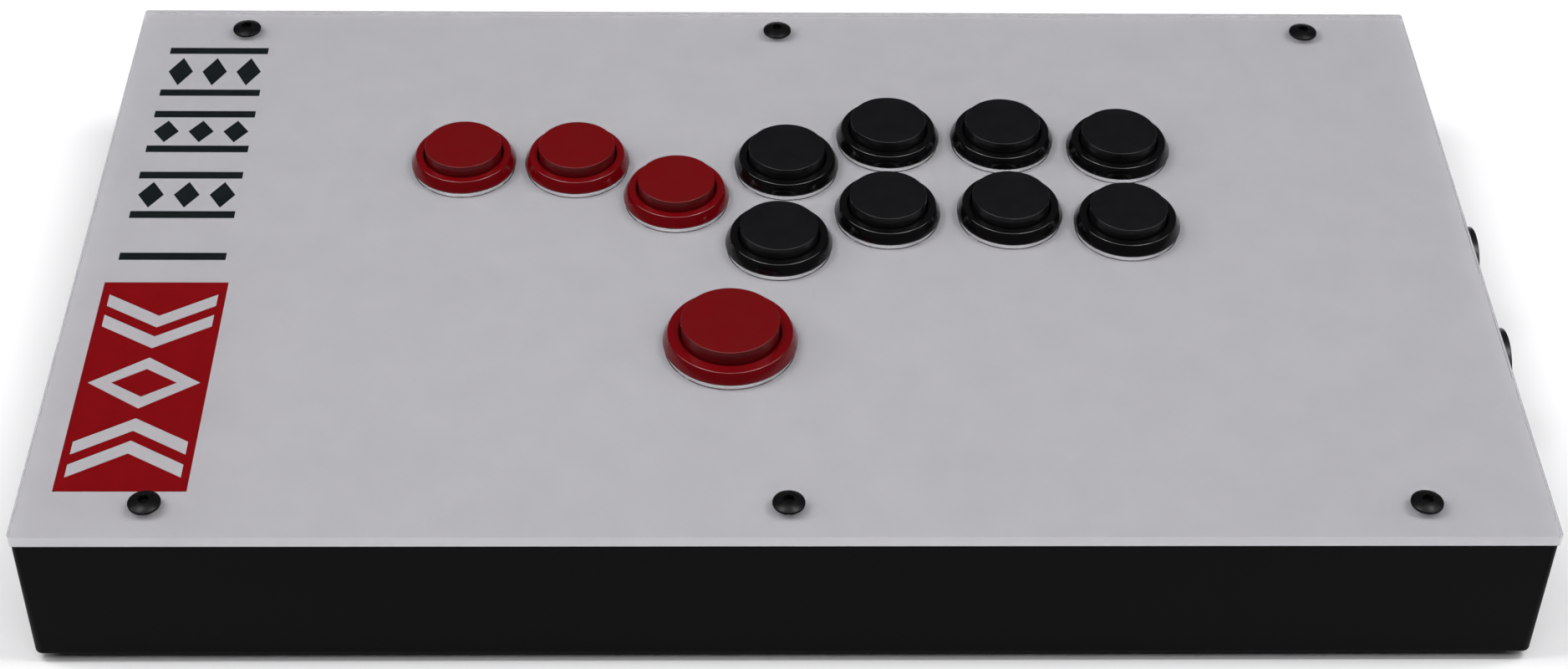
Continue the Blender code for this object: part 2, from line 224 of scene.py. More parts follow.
def newMaterial(name, look):
    # look: colour and roughness, both varied in patches, and a raised grain, with every size in millimetres
    material = bpy.data.materials.new(name)
    material.use_nodes = True
    tree = material.node_tree
    shader = tree.nodes["Principled BSDF"]
    shader.inputs["Metallic"].default_value = look.get("metallic", 0.0)
    shader.inputs["IOR"].default_value = look.get("ior", 1.5)
    shader.inputs["Specular IOR Level"].default_value = look.get("specular", 0.5)
    place = addNode(tree, "ShaderNodeTexCoord").outputs["Object"]
    patches = addNode(
        tree, "ShaderNodeTexNoise",
        {"Scale": 1000 / look["patchMm"], "Detail": 4.0, "Roughness": 0.6},
        {"Vector": place},
    ).outputs["Fac"]
    colours = addNode(tree, "ShaderNodeValToRGB", links={"Fac": patches})
    for stop, at, key in zip(colours.color_ramp.elements, patchSpread, ("colour", "colourPatch")):
        stop.position = at
        stop.color = linearColour(look[key])
    tree.links.new(colours.outputs["Color"], shader.inputs["Base Color"])
    low, high = look["roughness"] - look["roughnessShift"], look["roughness"] + look["roughnessShift"]
    rough = addNode(
        tree, "ShaderNodeMapRange",
        {"From Min": patchSpread[0], "From Max": patchSpread[1], "To Min": low, "To Max": high},
        {"Value": patches},
    )
    tree.links.new(rough.outputs["Result"], shader.inputs["Roughness"])
    if "grainMm" in look:
        grain = addNode(
            tree, "ShaderNodeTexNoise", {"Scale": 1000 / look["grainMm"], "Detail": 2.0}, {"Vector": place}
        ).outputs["Fac"]
        bump = addNode(
            tree, "ShaderNodeBump",
            {"Strength": look["grainStrength"], "Distance": look["grainDepthMm"] * mm},
            {"Height": grain},
        )
        tree.links.new(bump.outputs["Normal"], shader.inputs["Normal"])
    return material


# Grains in these looks are drawn coarser than the real ones, so that they show.

# Moulded ABS with a fine spark-eroded texture that scatters nearly all of its gloss: a soft black sheen
caseLook = {
    "colour": "#060607", "colourPatch": "#080809", "patchMm": 30, "roughness": 0.42, "roughnessShift": 0.05,
    "grainMm": 0.5, "grainStrength": 0.25, "grainDepthMm": 0.02, "specular": 0.035,
}
# Cast acrylic sheet, polished: clear, with a mirror-like top and bright cut edges
acrylicLook = {"tint": "#FCFCFD", "ior": 1.49, "roughness": 0.0, "haze": 0.02, "hazeMm": 60}
# Offset-printed card: an even cool grey ground with a faint mottle. The clear sheet over it gives the gloss.
cardLook = {
    "colour": "#8E8D90", "colourPatch": "#8B8A8D", "patchMm": 12, "roughness": 0.55, "roughnessShift": 0.05,
    "grainMm": 0.4, "grainStrength": 0.15, "grainDepthMm": 0.01, "specular": 0.0,
}
# Printing ink, black and red: flatter than the card, with slightly uneven density
blackInkLook = {
    "colour": "#0C1011", "colourPatch": "#101415", "patchMm": 6, "roughness": 0.5, "roughnessShift": 0.05,
    "grainMm": 0.4, "grainStrength": 0.1, "grainDepthMm": 0.01, "specular": 0.0,
}
redInkLook = {
    "colour": "#5E0408", "colourPatch": "#620509", "patchMm": 6, "roughness": 0.5, "roughnessShift": 0.05,
    "grainMm": 0.4, "grainStrength": 0.1, "grainDepthMm": 0.01, "specular": 0.0,
}
# Moulded button plastic: polished rims that mirror the lamps in thin arcs, plungers a little softer
redRimLook = {
    "colour": "#650208", "colourPatch": "#600207", "patchMm": 9, "roughness": 0.12, "roughnessShift": 0.03,
    "grainMm": 3.0, "grainStrength": 0.10, "grainDepthMm": 0.01, "specular": 0.55,
}
redPlungerLook = {
    "colour": "#620509", "colourPatch": "#5D0508", "patchMm": 7, "roughness": 0.33, "roughnessShift": 0.04,
    "grainMm": 2.0, "grainStrength": 0.05, "grainDepthMm": 0.01, "specular": 0.3,
}
blackRimLook = {
    "colour": "#060607", "colourPatch": "#080809", "patchMm": 9, "roughness": 0.12, "roughnessShift": 0.03,
    "grainMm": 3.0, "grainStrength": 0.10, "grainDepthMm": 0.01, "specular": 0.55,
}
blackPlungerLook = {
    "colour": "#0D0D0F", "colourPatch": "#0F0F11", "patchMm": 7, "roughness": 0.33, "roughnessShift": 0.04,
    "grainMm": 2.0, "grainStrength": 0.05, "grainDepthMm": 0.01, "specular": 0.3,
}
# Black-oxide steel under oil: the oxide layer is dark and not metallic, and the oil gives a soft gloss
oxideLook = {
    "colour": "#0B0B0C", "colourPatch": "#101011", "patchMm": 1.5, "roughness": 0.3, "roughnessShift": 0.06,
    "grainMm": 0.3, "grainStrength": 0.2, "grainDepthMm": 0.01, "specular": 0.11,
}
# Powder-coated sheet steel: black with a fine orange peel
powderLook = {
    "colour": "#161617", "colourPatch": "#1A1A1B", "patchMm": 20, "roughness": 0.5, "roughnessShift": 0.06,
    "grainMm": 0.9, "grainStrength": 0.4, "grainDepthMm": 0.03,
}
# Moulded rubber: matte, slightly dusty
rubberLook = {
    "colour": "#141414", "colourPatch": "#1C1C1C", "patchMm": 3, "roughness": 0.8, "roughnessShift": 0.08,
    "grainMm": 0.5, "grainStrength": 0.4, "grainDepthMm": 0.03, "specular": 0.3,
}
# Switch body: glass-filled nylon, dark grey and dull
nylonLook = {
    "colour": "#262628", "colourPatch": "#2E2E30", "patchMm": 4, "roughness": 0.55, "roughnessShift": 0.06,
    "grainMm": 0.4, "grainStrength": 0.3, "grainDepthMm": 0.02,
}
# Switch nub: acetal, slightly waxy red
nubLook = {
    "colour": "#A82018", "colourPatch": "#9A1C15", "patchMm": 1, "roughness": 0.4, "roughnessShift": 0.05,
    "grainMm": 0.4, "grainStrength": 0.1, "grainDepthMm": 0.01,
}
# Tinned brass blades and pins: pale, faintly streaked metal
tinnedLook = {
    "colour": "#C9C3B2", "colourPatch": "#B8B2A2", "patchMm": 1.2, "roughness": 0.3, "roughnessShift": 0.08,
    "grainMm": 0.3, "grainStrength": 0.2, "grainDepthMm": 0.01, "metallic": 1.0,
}
# Nickel-plated steel shell
nickelLook = {
    "colour": "#BDBDBE", "colourPatch": "#ADADAE", "patchMm": 2, "roughness": 0.24, "roughnessShift": 0.06,
    "grainMm": 0.3, "grainStrength": 0.15, "grainDepthMm": 0.01, "metallic": 1.0,
}
# Chip package: moulded epoxy, dark and matte
epoxyLook = {
    "colour": "#1B1B1C", "colourPatch": "#212122", "patchMm": 2, "roughness": 0.6, "roughnessShift": 0.05,
    "grainMm": 0.2, "grainStrength": 0.2, "grainDepthMm": 0.01,
}
# Terminal block: moulded green polyamide
terminalLook = {
    "colour": "#1F6B3A", "colourPatch": "#1C6235", "patchMm": 4, "roughness": 0.42, "roughnessShift": 0.05,
    "grainMm": 0.5, "grainStrength": 0.2, "grainDepthMm": 0.02,
}
# Solder mask over glass-fibre laminate: glossy dark green, with paler tracks under it
maskLook = {
    "colour": "#0B3A20", "colourPatch": "#0D4024", "patchMm": 8, "roughness": 0.28, "roughnessShift": 0.04,
    "grainMm": 0.6, "grainStrength": 0.15, "grainDepthMm": 0.01,
}
maskTracks = {"colour": "#1C5E36", "pitchMm": 2.54, "lineShare": 0.18}


def makeAcrylic():
    material = bpy.data.materials.new("castAcrylicPolished")
    material.use_nodes = True
    tree = material.node_tree
    shader = tree.nodes["Principled BSDF"]
    shader.inputs["Base Color"].default_value = linearColour(acrylicLook["tint"])
    shader.inputs["IOR"].default_value = acrylicLook["ior"]
    shader.inputs["Transmission Weight"].default_value = 1.0
    # A hand-wiped sheet is a touch hazier in broad patches
    place = addNode(tree, "ShaderNodeTexCoord").outputs["Object"]
    haze = addNode(
        tree, "ShaderNodeTexNoise", {"Scale": 1000 / acrylicLook["hazeMm"], "Detail": 3.0}, {"Vector": place}
    ).outputs["Fac"]
    clear, hazy = acrylicLook["roughness"], acrylicLook["roughness"] + acrylicLook["haze"]
    rough = addNode(
        tree, "ShaderNodeMapRange",
        {"From Min": 0.35, "From Max": 0.75, "To Min": clear, "To Max": hazy},
        {"Value": haze},
    )
    tree.links.new(rough.outputs["Result"], shader.inputs["Roughness"])
    return material


def makeSolderMask():
    material = newMaterial("solderMaskGreen", maskLook)
    tree = material.node_tree
    shader = tree.nodes["Principled BSDF"]
    ground = shader.inputs["Base Color"].links[0].from_socket
    place = addNode(tree, "ShaderNodeTexCoord").outputs["Object"]
    pitch = maskTracks["pitchMm"] * mm
    bricks = addNode(
        tree, "ShaderNodeTexBrick",
        {
            "Scale": 1.0, "Brick Width": 4 * pitch, "Row Height": pitch,
            "Mortar Size": maskTracks["lineShare"] * pitch, "Mortar Smooth": 0.0,
            "Mortar": linearColour(maskTracks["colour"]),
        },
        {"Vector": place, "Color1": ground, "Color2": ground},
    )
    tree.links.new(bricks.outputs["Color"], shader.inputs["Base Color"])
    return material


materials = {
    "case": newMaterial("absMouldedBlack", caseLook),
    "acrylic": makeAcrylic(),
    "card": newMaterial("cardPrintedGrey", cardLook),
    "blackInk": newMaterial("inkOffsetBlack", blackInkLook),
    "redInk": newMaterial("inkOffsetRed", redInkLook),
    "redRim": newMaterial("nylonPolishedRed", redRimLook),
    "redPlunger": newMaterial("nylonSatinRed", redPlungerLook),
    "blackRim": newMaterial("nylonPolishedBlack", blackRimLook),
    "blackPlunger": newMaterial("nylonSatinBlack", blackPlungerLook),
    "oxide": newMaterial("steelBlackOxide", oxideLook),
    "powder": newMaterial("steelPowderCoatedBlack", powderLook),
    "rubber": newMaterial("rubberMouldedBlack", rubberLook),
    "nylon": newMaterial("nylonGlassFilledGrey", nylonLook),
    "nub": newMaterial("acetalMouldedRed", nubLook),
    "tinned": newMaterial("brassTinned", tinnedLook),
    "nickel": newMaterial("steelNickelPlated", nickelLook),
    "epoxy": newMaterial("epoxyMouldedChip", epoxyLook),
    "terminal": newMaterial("polyamideMouldedGreen", terminalLook),
    "mask": makeSolderMask(),
}
print("materials:", len(materials))


def boxMiddle(node):
    low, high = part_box(node)
    return (low + high) / 2


def buttonList():
    # Each button's frame: its origin on the face it is fitted to, with +Z the way it faces
    buttons = []
    for node in sorted(frame["nodes"]):
        if not node.endswith("_housing"):
            continue
        name = node[:-len("_housing")]
        side = name.startswith("side")
        middle = boxMiddle(node)
        low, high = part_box(node)
        if side:
            turn = Matrix.Rotation(math.radians(90), 4, "Y") @ Matrix.Rotation(math.radians(90), 4, "Z")
            place = Matrix.Translation((caseHigh.x, middle.y, middle.z)) @ turn
        else:
            place = Matrix.Translation((middle.x, middle.y, coverHigh.z))
        large = high.y - low.y > 30 * mm
        red = slotOf[node] == "red_plastic"
        buttons.append({"name": name, "place": place, "large": large, "red": red, "side": side})
    return buttons


buttons = buttonList()
screwNodes = sorted(node for node in frame["nodes"] if node.startswith("cover_screw_"))
footNodes = sorted(node for node in frame["nodes"] if node.startswith("foot_"))

# Turned shapes of the two button sizes, in millimetres from the face that a button sits on
buttonShapes = {
    False: {"rim": 13.95, "crest": 3.0, "shoulder": 1.6, "bore": 10.5, "barrel": 11.7, "plunger": 10.1,
            "top": 5.98, "coverHole": 13.45, "plateHole": 12.0},
    True: {"rim": 16.85, "crest": 3.2, "shoulder": 1.5, "bore": 12.7, "barrel": 14.7, "plunger": 12.3,
           "top": 6.95, "coverHole": 16.35, "plateHole": 15.0},
}
housingShape = {
    "lift": 0.02, "shoulderRound": 0.35, "lipRound": 0.4, "footHeight": 0.45, "footRound": 0.2,
    "depth": 14.0, "floor": 1.6, "stemHole": 3.2,
    "tabWidth": 5.0, "tabHeight": 3.5, "tabReach": 0.75,
}
plungerShape = {"dome": 0.1, "edgeRound": 0.25, "wall": 1.4, "skirt": 6.0, "stem": 2.4, "stemDepth": 10.2}


caseShape = {
    "wall": 3.0, "floor": 2.0, "corner": 2.0, "bottomRound": 0.8, "topRound": 0.3, "floorRound": 1.5,
    "sideHole": 12.0, "socketGap": 0.25,
}
# The print is bonded to the cover's underside, so it sits just inside the clear sheet
stackShape = {
    "bond": 0.05, "cardThick": 0.12, "inkThick": 0.02, "gap": 0.05, "cardInset": 0.05, "cardHoleExtra": 0.15,
    "coverCorner": 1.0, "plateCorner": 2.5, "screwHole": 2.3,
}

cardTop = coverLow.z + stackShape["bond"] * mm
cardBottom = cardTop - stackShape["cardThick"] * mm
caseTop = cardBottom - stackShape["gap"] * mm


def roundedRing(inset, z):
    # The case's outline, drawn in by an inset
    width = caseHigh.x - caseLow.x - 2 * inset
    depth = caseHigh.y - caseLow.y - 2 * inset
    corner = max(caseShape["corner"] * mm - inset, 0.5 * mm)
    return [(x + panelMiddle.x, y, z) for x, y in roundedRectangle(width, depth, corner)]


def makeCase():
    wall = caseShape["wall"] * mm
    floorTop = caseLow.z + caseShape["floor"] * mm
    rings = []
    steps = 6
    for step in range(steps + 1):        # outside, from under the bottom edge
        angle = math.radians(90) * step / steps
        size = caseShape["bottomRound"] * mm
        rings.append(roundedRing(size * (1 - math.sin(angle)), caseLow.z + size * (1 - math.cos(angle))))
    size = caseShape["topRound"] * mm
    for step in range(4):                # over the outer top edge
        angle = math.radians(90) * step / 3
        rings.append(roundedRing(size * (1 - math.cos(angle)), caseTop - size * (1 - math.sin(angle))))
    for step in range(4):                # and down the inner one
        angle = math.radians(90) * step / 3
        rings.append(roundedRing(wall - size * (1 - math.sin(angle)), caseTop - size * (1 - math.cos(angle))))
    size = caseShape["floorRound"] * mm
    for step in range(steps + 1):        # into the floor
        angle = math.radians(90) * step / steps
        inset, drop = size * (1 - math.cos(angle)), size * (1 - math.sin(angle))
        rings.append(roundedRing(wall + inset, floorTop + drop))
    return loftMesh(rings, "caseShell")


def peg(x, y, radius, bottom, top, steps=48):
    rings = [[(px, py, z) for px, py in circlePoints(x, y, radius, steps)] for z in (bottom, top)]
    return loftMesh(rings, "peg")


postShape = {"radius": 5.0, "ribWidth": 6.0, "bore": 2.3, "pillar": 3.0, "pillarBore": 1.6}


def fitCase(shell):
    # Posts under the cover screws, pillars under the board, side holes and the socket's slot
    floorTop = caseLow.z + caseShape["floor"] * mm
    sunk = 0.5 * mm                      # how far joined pieces run into each other
    gap = stackShape["gap"] * mm
    postTop = plateLow.z - gap
    innerY = (caseHigh.y - caseLow.y) / 2 - caseShape["wall"] * mm + sunk
    bores = []
    for node in screwNodes:
        middle = boxMiddle(node)
        low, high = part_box(node)
        post = peg(middle.x, middle.y, postShape["radius"] * mm, floorTop - sunk, postTop)
        wallY = math.copysign(innerY, middle.y)
        size = (postShape["ribWidth"] * mm, abs(wallY - middle.y), postTop - floorTop)
        centre = (middle.x, (middle.y + wallY) / 2, (postTop + floorTop) / 2 - sunk)
        post = combined(post, blockMesh(centre, size, 0, "rib"), "UNION")
        shell = combined(shell, post, "UNION")
        bores.append(peg(middle.x, middle.y, postShape["bore"] * mm, low.z - 1 * mm, postTop + 1 * mm))
    shell = combined(shell, gathered(bores, "bores"), "DIFFERENCE")
    boardLow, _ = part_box("main_board")
    bores = []
    for side in ("left", "right"):
        middle = boxMiddle(f"board_screw_{side}")
        pillarTop = boardLow.z - gap
        pillar = peg(middle.x, middle.y, postShape["pillar"] * mm, floorTop - sunk, pillarTop)
        shell = combined(shell, pillar, "UNION")
        bore = peg(middle.x, middle.y, postShape["pillarBore"] * mm, floorTop + sunk, pillarTop + 1 * mm)
        bores.append(bore)
    shell = combined(shell, gathered(bores, "bores"), "DIFFERENCE")
    holes = []
    for button in buttons:
        if button["side"]:
            hole = peg(0, 0, caseShape["sideHole"] * mm, -5 * mm, 2 * mm, 96)
            hole.transform(button["place"])
            holes.append(hole)
    shell = combined(shell, gathered(holes, "sideHoles"), "DIFFERENCE")
    socketLow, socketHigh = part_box("cable_socket")
    slotWidth = socketHigh.x - socketLow.x + 2 * caseShape["socketGap"] * mm
    slotHeight = socketHigh.z - socketLow.z + 2 * caseShape["socketGap"] * mm
    outline = roundedRectangle(slotWidth, slotHeight, slotHeight / 2 - 0.01 * mm, 8)
    middle = boxMiddle("cable_socket")
    rings = [[(middle.x + x, caseHigh.y + y, middle.z + z) for x, z in outline] for y in (-6 * mm, 3 * mm)]
    return combined(shell, loftMesh(rings, "slot"), "DIFFERENCE")


def panelHoles(kind, extra=0.0):
    # The outlines of the button holes and screw holes in the cover, the card or the plate
    loops = []
    for button in buttons:
        if not button["side"]:
            centre = button["place"].translation
            radius = buttonShapes[button["large"]][kind] * mm + extra
            loops.append(circlePoints(centre.x, centre.y, radius))
    for node in screwNodes:
        middle = boxMiddle(node)
        loops.append(circlePoints(middle.x, middle.y, stackShape["screwHole"] * mm, 48))
    return loops


addPiece("caseShell", fitCase(makeCase()), materials["case"], "case", "case_tray")

coverWidth = coverHigh.x - coverLow.x
coverDepth = coverHigh.y - coverLow.y
outline = roundedRectangle(coverWidth, coverDepth, stackShape["coverCorner"] * mm, x=panelMiddle.x)
coverMesh = plateMesh([outline] + panelHoles("coverHole"), coverLow.z, coverHigh.z, 0, "coverSheet")
cover = addPiece("coverSheet", coverMesh, materials["acrylic"], "case", "clear_cover")
cover.visible_shadow = False         # lamps light the card through it

cardWidth = coverWidth - 2 * stackShape["cardInset"] * mm
cardDepth = coverDepth - 2 * stackShape["cardInset"] * mm
outline = roundedRectangle(cardWidth, cardDepth, stackShape["coverCorner"] * mm, x=panelMiddle.x)
cardHoles = panelHoles("coverHole", stackShape["cardHoleExtra"] * mm)
cardMesh = plateMesh([outline] + cardHoles, cardBottom, cardTop, 0.02 * mm, "artworkCard")
addPiece("artworkCard", cardMesh, materials["card"], "case", "artwork_sheet")

plateSize = plateHigh - plateLow
outline = roundedRectangle(plateSize.x, plateSize.y, stackShape["plateCorner"] * mm, x=panelMiddle.x)
steelMesh = plateMesh([outline] + panelHoles("plateHole"), plateLow.z, plateHigh.z, 0.1 * mm, "buttonPlate")
addPiece("buttonPlate", steelMesh, materials["powder"], "case", "button_plate")
print("case and panel layers made")


# Printed ornament of plain bars, chevrons and diamonds, in millimetres from the panel's middle
ornament = {
    "middleX": -156.9, "width": 27.4,
    "bars": (87.2, 67.6, 57.8, 42.4, 31.0, 14.4, -2.6), "barThick": 2.9,
    "diamondRows": ((77.4, 6.4), (50.1, 4.8), (22.7, 5.4)), "diamondWidth": 3.4, "diamondSpacing": 9.4,
    "blockTop": -12.9, "blockBottom": -88.4, "blockWidth": 31.4,
    "chevronTops": (-17.6, -25.4), "chevronDrop": 8.2, "stroke": 4.4,
    "diamondHalf": (13.7, 9.2), "diamondInner": (8.0, 5.0),
}


def rectangle(x, y, width, depth):
    return [(x - width / 2, y - depth / 2), (x + width / 2, y - depth / 2),
            (x + width / 2, y + depth / 2), (x - width / 2, y + depth / 2)]


def chevron(x, top, width, drop, stroke):
    half = width / 2
    return [(x - half, top), (x, top - drop), (x + half, top),
            (x + half, top - stroke), (x, top - drop - stroke), (x - half, top - stroke)]


def diamond(x, y, halves):
    return [(x + halves[0], y), (x, y + halves[1]), (x - halves[0], y), (x, y - halves[1])]


def inkPiece(name, loops, material):
    inMetres = [[(panelMiddle.x + x * mm, y * mm) for x, y in loop] for loop in loops]
    bottom = cardTop + 0.005 * mm
    mesh = plateMesh(inMetres, bottom, bottom + stackShape["inkThick"] * mm, 0, name)
    addPiece(name, mesh, materials[material], "case")


def makeOrnament():
    x = ornament["middleX"]
    marks = [rectangle(x, y, ornament["width"], ornament["barThick"]) for y in ornament["bars"]]
    for y, half in ornament["diamondRows"]:
        for step in (-1, 0, 1):
            marks.append(diamond(x + step * ornament["diamondSpacing"], y, (ornament["diamondWidth"], half)))
    inkPiece("inkBars", marks, "blackInk")

    top, bottom = ornament["blockTop"], ornament["blockBottom"]
    middle = (top + bottom) / 2
    block = [rectangle(x, middle, ornament["blockWidth"], top - bottom)]
    for chevronTop in ornament["chevronTops"]:
        shape = chevron(x, chevronTop, ornament["width"], ornament["chevronDrop"], ornament["stroke"])
        block.append(shape)
        block.append([(px, 2 * middle - py) for px, py in shape])
    block.append(diamond(x, middle, ornament["diamondHalf"]))
    block.append(diamond(x, middle, ornament["diamondInner"]))
    inkPiece("inkBlock", block, "redInk")


makeOrnament()
print("ornament printed")


screwShape = {
    "head": 3.9, "headHeight": 1.7, "domeRadius": 7.5, "flat": 1.45, "edge": 0.45, "edgeRound": 0.3,
    "shank": 2.0, "pitch": 0.7, "threadDepth": 0.3, "length": 18.0, "hex": 2.5, "hexDepth": 1.5,
}


def screwMesh():
    # A button head over a helical thread, with a hex socket
    steps = 24
    shape = screwShape
    head = []
    domeSteps = 7
    shoulder = shape["head"] - shape["edgeRound"] / 2
    for step in range(domeSteps + 1):
        radius = shape["flat"] + (shoulder - shape["flat"]) * step / domeSteps
        drop = shape["domeRadius"] - math.sqrt(shape["domeRadius"] ** 2 - radius ** 2)
        head.append((radius, shape["headHeight"] - drop))
    head += arcPoints(shape["head"] - shape["edgeRound"], shape["edge"], shape["edgeRound"], 45, 0, 4)
    head += [(shape["head"], 0.15), (shape["head"] - 0.15, 0.0)]
    rings = []
    for radius, height in head:
        rings.append([(x * mm, y * mm, height * mm) for x, y in circlePoints(0, 0, radius, steps * 2)])
    turnsPerStep = 5
    count = int(shape["length"] / shape["pitch"] * turnsPerStep)
    for step in range(count):
        z = -shape["length"] * step / count
        ring = []
        for spoke in range(steps * 2):
            phase = (z / shape["pitch"] + spoke / (steps * 2)) % 1.0
            radius = shape["shank"] - shape["threadDepth"] * abs(2 * phase - 1)
            angle = math.tau * spoke / (steps * 2)
            ring.append((radius * math.cos(angle) * mm, radius * math.sin(angle) * mm, z * mm))
        rings.append(ring)
    mesh = loftMesh(rings, "screw")
    hexPoints = circlePoints(0, 0, shape["hex"] / math.sqrt(3) * mm, 6)
    bottom = (shape["headHeight"] - shape["hexDepth"]) * mm
    hexTool = loftMesh([[(x, y, z) for x, y in hexPoints] for z in (bottom, 4 * mm)], "hexTool")
    return combined(mesh, hexTool, "DIFFERENCE")


# Degrees that each screw's hex came to rest at
screwTurns = {
    "front_left": 12, "front_middle": 41, "front_right": 25,
    "back_left": 50, "back_middle": 5, "back_right": 33,
}


def makeScrews():
    shared = screwMesh()
    for node in screwNodes:
        middle = boxMiddle(node)
        turn = Matrix.Rotation(math.radians(screwTurns[node[len("cover_screw_"):]]), 4, "Z")
        place = Matrix.Translation((middle.x, middle.y, coverHigh.z + 0.02 * mm)) @ turn
        name = "coverScrew_" + node[len("cover_screw_"):]
        addPiece(name, shared.copy(), materials["oxide"], "case", node, place=place, smoothBelow=30)


footShape = {"radius": 6.5, "height": 2.45, "edge": 0.5, "dish": 0.25, "lip": 1.8}


def makeFeet():
    shape = footShape
    # Its underside is dished, with a lip that stands on the table
    lipInside = shape["radius"] - shape["lip"]
    profile = [(0.0, shape["dish"]), (lipInside - 0.4, shape["dish"]), (lipInside, 0.0)]
    profile += arcPoints(shape["radius"] - 0.9, 0.4, 0.4, -90, -10, 4)
    profile += [(shape["radius"], shape["height"] - shape["edge"])]
    profile += arcPoints(shape["radius"] - 0.3, shape["height"] - 0.3, 0.3, 0, 90, 4)
    profile += [(0.0, shape["height"])]
    for node in footNodes:
        middle = boxMiddle(node)
        mesh = turnedMesh([(r * mm, z * mm) for r, z in profile], "foot", 64)
        place = Matrix.Translation((middle.x, middle.y, 0))
        addPiece("rubberFoot_" + node[len("foot_"):], mesh, materials["rubber"], "case", node, place=place)


makeScrews()
makeFeet()
print("screws and feet made")


def housingProfile(size):
    shape = housingShape
    rim, bore, barrel, crest = size["rim"], size["bore"], size["barrel"], size["crest"]
    profile = [(bore, shape["floor"] - shape["depth"])]
    profile += arcPoints(bore + shape["lipRound"], crest - shape["lipRound"], shape["lipRound"], 180, 90)
    rimRound = shape["shoulderRound"]
    profile += arcPoints(rim - size["shoulder"], crest - rimRound, rimRound, 90, 28, 8)
    profile += [(rim - 0.06, shape["footHeight"] + 0.12), (rim, shape["footHeight"] - 0.1)]
    footRound = shape["footRound"]
    profile += arcPoints(rim - footRound, shape["lift"] + footRound, footRound, 0, -90, 4)
    profile += [(barrel + 0.2, shape["lift"]), (barrel, shape["lift"] - 0.2)]
    profile += [(barrel, 0.6 - shape["depth"]), (barrel - 0.6, -shape["depth"])]
    profile += [(shape["stemHole"], -shape["depth"]), (shape["stemHole"], shape["floor"] - shape["depth"])]
    return [(r * mm, z * mm) for r, z in profile]


def snapTab(barrel, grip, side):
    # A ramp that springs out under the gripped sheet
    shape = housingShape
    top = -grip - 0.1
    inside = side * (barrel - 0.6)
    outer = side * (barrel + shape["tabReach"])
    corners = ((inside, top), (outer, top), (outer, top - 0.5), (inside, top - shape["tabHeight"]))
    half = shape["tabWidth"] / 2
    rings = [[(x * mm, y * mm, z * mm) for x, z in corners] for y in (-half, half)]
    return loftMesh(rings, "snapTab")


def housingMesh(large, grip):
    size = buttonShapes[large]
    mesh = turnedMesh(housingProfile(size), "housing")
    for side in (-1, 1):
        mesh = combined(mesh, snapTab(size["barrel"], grip, side), "UNION")
    return mesh


def plungerMesh(large):
    shape = plungerShape
    outer, top = buttonShapes[large]["plunger"], buttonShapes[large]["top"]
    edge = shape["edgeRound"]
    flat = outer - edge
    edgeTop = top - shape["dome"]
    profile = []
    domeSteps = 8
    for step in range(domeSteps + 1):
        share = step / domeSteps
        profile.append((flat * share, top - shape["dome"] * share ** 2))
    profile += arcPoints(flat, edgeTop - edge, edge, 82, 0, 8)
    inner = outer - shape["wall"]
    ceiling = top - 2 * shape["wall"]
    profile += [(outer, -shape["skirt"]), (inner, -shape["skirt"])]
    profile += [(inner, ceiling), (shape["stem"], ceiling)]
    profile += [(shape["stem"], 0.4 - shape["stemDepth"]), (shape["stem"] - 0.4, -shape["stemDepth"])]
    profile += [(0.0, -shape["stemDepth"])]
    return turnedMesh([(r * mm, z * mm) for r, z in profile], "plunger")


switchShape = {
    "size": (12.8, 5.8, 6.5), "top": -14.1, "blade": (2.8, 0.5, 6.3), "spacing": 8.8,
    "nubAt": 1.5, "nub": (2.4, 2.0, 1.0), "pinHole": 1.05, "bladeHole": 0.6,
}


def switchMeshes():
    # Body with its lid line and two pin holes, red nub, and two blades with a hole each
    shape = switchShape
    width, depth, height = shape["size"]
    top = shape["top"]
    middle = top - height / 2
    acrossY = Matrix.Rotation(math.radians(90), 4, "X")
    body = blockMesh((0, 0, middle * mm), [v * mm for v in shape["size"]], 0.3 * mm, "switchBody")
    tools = []
    grooveY = depth / 2 - 1.2
    for sign in (-1, 1):
        centre = (sign * width / 2 * mm, grooveY * mm, middle * mm)
        tools.append(blockMesh(centre, (0.3 * mm, 0.15 * mm, (height + 1) * mm), 0, "groove"))
    for x, z in ((-3.25, -1.2), (3.25, -1.2)):
        pin = peg(x * mm, 0, shape["pinHole"] * mm, -4 * mm, 4 * mm, 24)
        pin.transform(Matrix.Translation((0, 0, (middle + z) * mm)) @ acrossY)
        tools.append(pin)
    body = combined(body, gathered(tools, "switchCuts"), "DIFFERENCE")
    centre = (shape["nubAt"] * mm, 0, (top + 0.1) * mm)
    nub = blockMesh(centre, [v * mm for v in shape["nub"]], 0.3 * mm, "nub")
    blades = []
    for x in (-shape["spacing"] / 2, shape["spacing"] / 2):
        centre = (x * mm, 0, (top - height - shape["blade"][2] / 2) * mm)
        blade = blockMesh(centre, [v * mm for v in shape["blade"]], 0.1 * mm, "blade")
        hole = peg(x * mm, 0, shape["bladeHole"] * mm, -2 * mm, 2 * mm, 24)
        drop = Matrix.Translation((0, 0, (top - height - shape["blade"][2] * 0.72) * mm))
        hole.transform(drop @ acrossY)
        blades.append(combined(blade, hole, "DIFFERENCE"))
    return body, nub, gathered(blades, "blades")


